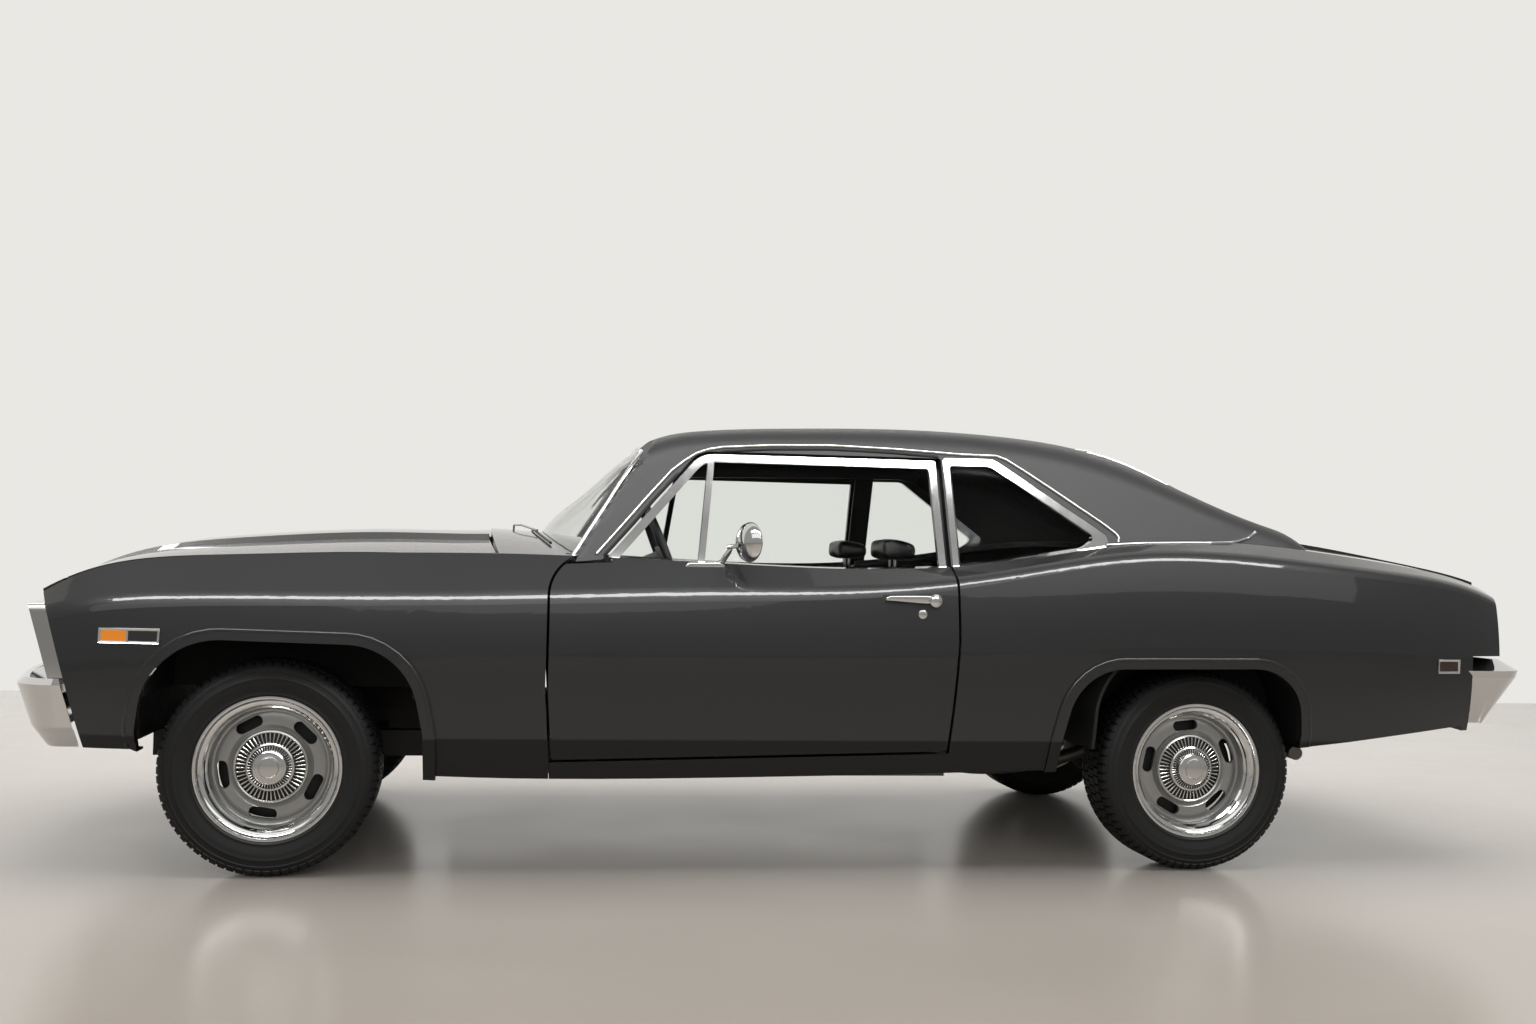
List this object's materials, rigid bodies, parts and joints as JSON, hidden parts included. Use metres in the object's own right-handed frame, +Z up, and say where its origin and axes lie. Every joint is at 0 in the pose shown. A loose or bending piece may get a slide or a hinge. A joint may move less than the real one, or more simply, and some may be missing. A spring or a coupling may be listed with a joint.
{
  "type": "two-door muscle car",
  "caption": "Two-door hardtop-style muscle car with long hood, vinyl roof, opening doors, hood and trunk lid, steered front wheels and a live rear axle.",
  "frame": {"origin": "on the ground, under the middle of the car's length and width", "axes": "+X forward, +Y to the car's left, +Z up"},
  "size_m": [4.8119, 1.86, 1.4029],
  "materials": {
    "paint": "gloss charcoal",
    "vinyl": "grained vinyl",
    "chrome": "polished",
    "glass": "clear",
    "tyre": "matt",
    "wheel": "silver",
    "seat": "black vinyl",
    "black_plastic": "satin",
    "red_lens": "clear red",
    "amber_lens": "amber",
    "cast_iron": "painted",
    "bare_metal": "dull",
    "chassis_black": "satin black",
    "inner_paint": "satin"
  },
  "bodies": {
    "body": {"control_arms": "chassis_black", "cowl_panel": "paint", "dashboard": "black_plastic", "engine_block": "cast_iron", "exhaust": "bare_metal", "fender_left": "paint", "fender_right": "paint", "firewall": "inner_paint", "floor_pan": "inner_paint", "front_bumper": "chrome", "front_seats": "seat", "front_subframe": "chassis_black", "front_valance": "paint", "front_wheelhouses": "inner_paint", "fuel_tank": "bare_metal", "grille": "black_plastic", "grille_surround": "chrome", "header_panel": "paint", "headlamps": "glass", "leaf_springs": "chassis_black", "parcel_shelf": "black_plastic", "quarter_panel_left": "paint", "quarter_panel_right": "paint", "quarter_window_frames": "chrome", "quarter_windows": "glass", "rear_axle": "chassis_black", "rear_bumper": "chrome", "rear_seat": "seat", "rear_wheelhouses": "inner_paint", "rear_window": "glass", "roof": "vinyl", "side_markers": "amber_lens", "sill_beams": "paint", "tail_lamps": "red_lens", "tail_panel": "paint", "transmission": "bare_metal", "turn_lamps": "amber_lens", "upper_deck_panel": "paint", "windshield": "glass", "windshield_frame": "paint"},
    "door_left": {"door_brightwork_left": "chrome", "door_glass_left": "glass", "door_left": "paint"},
    "knuckle_left": {"knuckle_left": "chassis_black"},
    "wheel_front_left": {"tyre_front_left": "tyre", "wheel_front_left": "wheel"},
    "wheel_rear_left": {"tyre_rear_left": "tyre", "wheel_rear_left": "wheel"},
    "door_right": {"door_brightwork_right": "chrome", "door_glass_right": "glass", "door_right": "paint"},
    "knuckle_right": {"knuckle_right": "chassis_black"},
    "wheel_front_right": {"tyre_front_right": "tyre", "wheel_front_right": "wheel"},
    "wheel_rear_right": {"tyre_rear_right": "tyre", "wheel_rear_right": "wheel"},
    "hood": {"hood": "paint"},
    "trunk_lid": {"trunk_lid": "paint"},
    "steering_wheel": {"steering_wheel": "black_plastic"}
  },
  "joints": [
    {"name": "steer_left", "type": "hinge", "parent": "body", "child": "knuckle_left", "pos_m": [1.5755, 0.69, 0.313], "axis": [0, 0, 1], "range_deg": [-32, 32]},
    {"name": "steer_right", "type": "hinge", "parent": "body", "child": "knuckle_right", "pos_m": [1.5755, -0.69, 0.313], "axis": [0, 0, 1], "range_deg": [-32, 32]},
    {"name": "steering_wheel_turn", "type": "hinge", "parent": "body", "child": "steering_wheel", "pos_m": [0.415, 0.38, 0.95], "axis": [-0.9272, 0, 0.3746], "range_deg": [-540, 540]},
    {"name": "roll_front_left", "type": "hinge", "parent": "knuckle_left", "child": "wheel_front_left", "pos_m": [1.5755, 0.7495, 0.313], "axis": [0, 1, 0], "continuous": true},
    {"name": "roll_rear_left", "type": "hinge", "parent": "body", "child": "wheel_rear_left", "pos_m": [-1.2435, 0.7495, 0.313], "axis": [0, 1, 0], "continuous": true},
    {"name": "roll_front_right", "type": "hinge", "parent": "knuckle_right", "child": "wheel_front_right", "pos_m": [1.5755, -0.7495, 0.313], "axis": [0, 1, 0], "continuous": true},
    {"name": "roll_rear_right", "type": "hinge", "parent": "body", "child": "wheel_rear_right", "pos_m": [-1.2435, -0.7495, 0.313], "axis": [0, 1, 0], "continuous": true},
    {"name": "door_left_swing", "type": "hinge", "parent": "body", "child": "door_left", "pos_m": [0.823, 0.897, 0.6], "axis": [0, 0, -1], "range_deg": [0, 65]},
    {"name": "door_right_swing", "type": "hinge", "parent": "body", "child": "door_right", "pos_m": [0.823, -0.897, 0.6], "axis": [0, 0, 1], "range_deg": [0, 65]},
    {"name": "hood_lift", "type": "hinge", "parent": "body", "child": "hood", "pos_m": [0.95, 0, 1.034], "axis": [0, -1, 0], "range_deg": [0, 55]},
    {"name": "lid_lift", "type": "hinge", "parent": "body", "child": "trunk_lid", "pos_m": [-1.612, 0, 1.092], "axis": [0, 1, 0], "range_deg": [0, 55]}
  ],
  "couplings": [
    {"joint": "steer_right", "follows": "steer_left", "ratio": 1},
    {"joint": "steering_wheel_turn", "follows": "steer_left", "ratio": 16}
  ]
}
